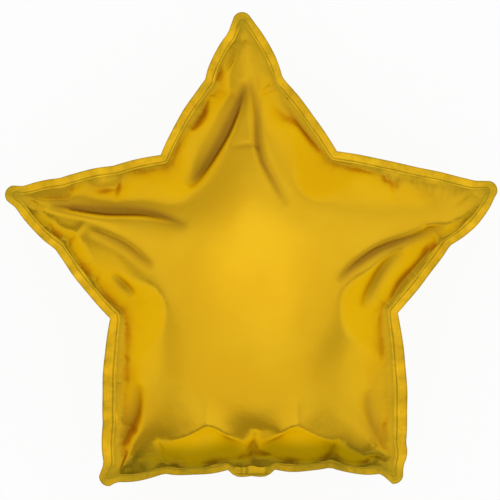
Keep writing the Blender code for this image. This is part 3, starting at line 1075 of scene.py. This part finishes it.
def seal_rails():
    """The seal's rails, clockwise from the top tip with the points of the bag's seam, and how much shade is
    painted on it.
    """
    inner, outer, dull = [], [], []
    along_bottom = bottom_shares()
    for place, (tip, side, share) in enumerate(seam_loop):
        held = filled_seam[place, :2] - outward(tip, side) * TUCK * min(1.0, TUCK_FADE * share)
        if share == 0.0:
            held = tip_point(tip) * (1 - TUCK / np.linalg.norm(tip_point(tip)))
            first = outward(tip, -1)
            turn = math.acos(first @ outward(tip, 1))
            for step in range(KNOB_STEPS):
                spoke = turned(first, -turn * step / KNOB_STEPS)
                inner.append([*held, 0.0])
                outer.append([*(tip_point(tip) + spoke * SEAL_WIDTH), 0.0])
                dull.append(KNOB_PAINTED_SHADE)
        wave = seam_wave(tip, side, share)
        inner.append([*held, wave])
        outer.append([*rim_point(tip, side, share), wave * RIM_WAVE])
        dull.append(max(KNOB_PAINTED_SHADE * (1 - share / KNOB_SHARE), SEAL_BOTTOM_PAINTED_SHADE * along_bottom[place]))
    inner.append(inner[0])
    outer.append(outer[0])
    dull.append(dull[0])
    half_film = (0, 0, SEAM_HEIGHT - SEAL_FILM / 2)
    return np.array(inner) + half_film, np.array(outer) + half_film, np.array(dull)


strips = strip_tree()
inner_rail, outer_rail, seal_painted_shade = seal_rails()
seal = film_strip(
    "heat_seal",
    inner_rail,
    outer_rail,
    np.tile([0.0, 0.0, 1.0], (len(inner_rail), 1)),
    seal_painted_shade,
    strips,
    seal_foil,
    Rows=5,
    Film=SEAL_FILM,
    Ripple=1.2 * MM,
    **{"Ripple Scale": 60.0},
)
print("seal:", len(seal.data.polygons), "faces")

# %% [markdown]
# ## The neck's tail
#
# The neck goes on past the bottom edge as a flat tail, which is folded back behind the balloon out of sight.
# It follows the back's own curve, so its path is found by looking up at the bag from below at each step.

# %% The tail
TAIL_WIDTH = 28.0 * MM
TAIL_LENGTH = 75.0 * MM
TAIL_FILM = 0.5 * MM
TAIL_GAP = 1.0 * MM
TAIL_BITE = 6.0 * MM
TAIL_STEP = 2.5 * MM
TAIL_TUCK = 3.0 * MM
# Olive shade painted on the tail.
TAIL_PAINTED_SHADE = 0.4
TAIL_STEEPEST = 1.2
FOLD_STEPS = 6
PATH_PASSES = 3
TAIL_LOOKS = (-0.5, -0.25, 0.0, 0.25, 0.5)
LOOK_FROM = -0.1


def back_height(surface, forward):
    """The lowest point of the bag over the tail's width, at a distance along +Y."""
    found = []
    for share in TAIL_LOOKS:
        hit = surface.ray_cast(Vector((share * TAIL_WIDTH, forward, LOOK_FROM)), Vector((0, 0, 1)))[0]
        found.append(hit.z if hit else SEAM_HEIGHT)
    return min(found)


def tail_path(surface):
    """Places (y, z) along the tail: out past the rim, round its fold, and forward under the bag."""
    root = -(BOTTOM_REACH + NECK_DROP + SEAL_WIDTH) + TAIL_TUCK
    drop = 2 * TAIL_GAP + TAIL_FILM
    places = [(root + TAIL_BITE, SEAM_HEIGHT), (root, SEAM_HEIGHT)]
    for step in range(1, FOLD_STEPS + 1):
        angle = math.pi * step / FOLD_STEPS
        places.append((root - math.sin(angle) * drop / 2, SEAM_HEIGHT - drop / 2 * (1 - math.cos(angle))))
    length = 0.0
    slope = 0.0
    while length < TAIL_LENGTH:
        y, z = places[-1]
        forward = y + TAIL_STEP * math.cos(slope)
        below = back_height(surface, forward) - (TAIL_GAP + TAIL_FILM) / math.cos(slope)
        places.append((forward, min(below, SEAM_HEIGHT - drop)))
        slope = min(TAIL_STEEPEST, max(0.0, math.atan2(z - places[-1][1], forward - y)))
        length += math.hypot(forward - y, places[-1][1] - z)
    return np.array(places)


def smooth_path(places, passes, held):
    for _ in range(passes):
        middle = (places[:-2] + places[2:]) / 2
        places[held:-1] = places[held:-1] + 0.5 * (middle[held - 1 :] - places[held:-1])
    return places


bag_surface = BVHTree.FromObject(bag, bpy.context.evaluated_depsgraph_get())
path = smooth_path(tail_path(bag_surface), PATH_PASSES, FOLD_STEPS + 3)
heading = np.gradient(path, axis=0)
heading /= np.linalg.norm(heading, axis=1)[:, None]
away = np.column_stack([np.zeros(len(path)), heading[:, 1], -heading[:, 0]])
left = np.column_stack([np.full(len(path), -TAIL_WIDTH / 2), path])
right = np.column_stack([np.full(len(path), TAIL_WIDTH / 2), path])
tail = film_strip(
    "neck_tail",
    left,
    right,
    away,
    np.full(len(path), TAIL_PAINTED_SHADE),
    strips,
    seal_foil,
    Rows=12,
    Film=TAIL_FILM,
    Belly=0.8 * MM,
    Ripple=0.6 * MM,
    **{"Ripple Scale": 50.0},
)
print("tail:", len(tail.data.polygons), "faces")

# %% [markdown]
# ## Joining the balloon to its frame
#
# The bag, its seal and its tail are one solid in the CAD model. Together they replace it, and all of them
# move with the one body.

# %% Ride and replace
for piece in (bag, seal, tail):
    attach(piece, BODY)
    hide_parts(NODE)

# %% [markdown]
# ## Floor, light and camera
#
# A metal shows what is round it, so the light has to be built like a photographer's tent: a large soft
# light overhead, pale walls, and the floor's own paleness from below. The wall towards the bottom of the
# star is darker, which draws the shaded band along its lower edge. The wall towards its top is a little
# darker too, and both are paler on the right.

# %% Floor
FLOOR_SEEN = 0.92
FLOOR_MIRRORED = 0.72
FLOOR_REACH = 6.0
floor = new_piece(
    "floor",
    [(x * FLOOR_REACH, y * FLOOR_REACH, 0.0) for x, y in ((-1, -1), (1, -1), (1, 1), (-1, 1))],
    [(0, 1, 2, 3)],
)
floor_paint = bpy.data.materials.new("pale_floor")
paint = Shader(floor_paint)
pale = paint.add(
    "ShaderNodeBsdfPrincipled", Base_Color=(0.93, 0.93, 0.93, 1.0), Roughness=0.9, Specular_IOR_Level=0.1
)
glow = paint.add("ShaderNodeEmission", Color=(1.0, 1.0, 1.0, 1.0), Strength=1.0)
looks = paint.add("ShaderNodeLightPath", output="Is Camera Ray")
mirrored = paint.add("ShaderNodeLightPath", output="Is Glossy Ray")
share = looks * FLOOR_SEEN + mirrored * FLOOR_MIRRORED
lit = paint.add("ShaderNodeMixShader", _0_=share.clamped(), _1_=pale, _2_=glow)
paint.add("ShaderNodeOutputMaterial", Surface=lit)
floor.data.materials.append(floor_paint)

# %% World
# x, y and z are the parts of a ray's direction: to the right tip, to the top tip and up.
HORIZON_LEVEL = 0.72
OVERHEAD_LEVEL = 0.9
FRONT_SHADE = 0.65
BACK_SHADE = 0.25
SIDE_RELIEF = 0.35
world = bpy.data.worlds.new("tent")
bpy.context.scene.world = world
sky = Shader(world)
ray = sky.add("ShaderNodeTexCoord", output="Generated")
split = sky.add("ShaderNodeSeparateXYZ", Vector=ray)
nodes = split.socket.node.outputs
x, y, z = (Signal(sky, nodes[k]) for k in range(3))
level = sky.ramp(z, 0.0, 0.4) * (OVERHEAD_LEVEL - HORIZON_LEVEL) + HORIZON_LEVEL
front_shade = sky.ramp(y * -1.0, 0.15, 0.6) * (1 - sky.ramp(z, 0.3, 0.6))
back_shade = sky.ramp(y, 0.15, 0.8) * (1 - sky.ramp(z, 0.5, 0.95))
bright_side = sky.ramp(x, 0.0, 0.45)
front_shade = front_shade * (1 - bright_side * SIDE_RELIEF)
back_shade = back_shade * (1 - bright_side)
level = level * (1 - front_shade * FRONT_SHADE) * (1 - back_shade * BACK_SHADE)
seen = sky.add("ShaderNodeLightPath", output="Is Camera Ray")
strength = level * (1 - seen) + seen
background = sky.add("ShaderNodeBackground", Color=(1.0, 1.0, 1.0, 1.0), Strength=strength)
sky.add("ShaderNodeOutputWorld", Surface=background)


# %% Soft light
def soft_light(name, place, size, radiance, aim=(0.0, 0.0, 0.08)):
    """A square light whose face is as bright as the radiance says."""
    lamp = bpy.data.lights.new(name, "AREA")
    lamp.size = size
    lamp.energy = radiance * math.pi * size * size
    light = bpy.data.objects.new(name, lamp)
    bpy.context.scene.collection.objects.link(light)
    light.location = place
    light.rotation_euler = (Vector(aim) - Vector(place)).to_track_quat("-Z", "Y").to_euler()


soft_light("overhead", place=(0.1, 0.3, 2.2), size=1.6, radiance=0.2)

# %% Camera
# The photograph is 500 pixels wide. The star's middle is at (251.4, 275) in it, and a pixel is 0.867 mm.
PIXEL = 0.867 * MM
FRAME_PIXELS = 500
STAR_MIDDLE = (251.4, 275.0)
CAMERA_HEIGHT = 2.2
SENSOR = 36.0
lens = bpy.data.cameras.new("camera")
lens.sensor_width = SENSOR
lens.lens = SENSOR * CAMERA_HEIGHT / (FRAME_PIXELS * PIXEL)
camera = bpy.data.objects.new("camera", lens)
bpy.context.scene.collection.objects.link(camera)
camera.location = (
    (FRAME_PIXELS / 2 - STAR_MIDDLE[0]) * PIXEL,
    (STAR_MIDDLE[1] - FRAME_PIXELS / 2) * PIXEL,
    CAMERA_HEIGHT + SEAM_HEIGHT,
)
bpy.context.scene.camera = camera
bpy.context.scene.view_settings.view_transform = "Standard"
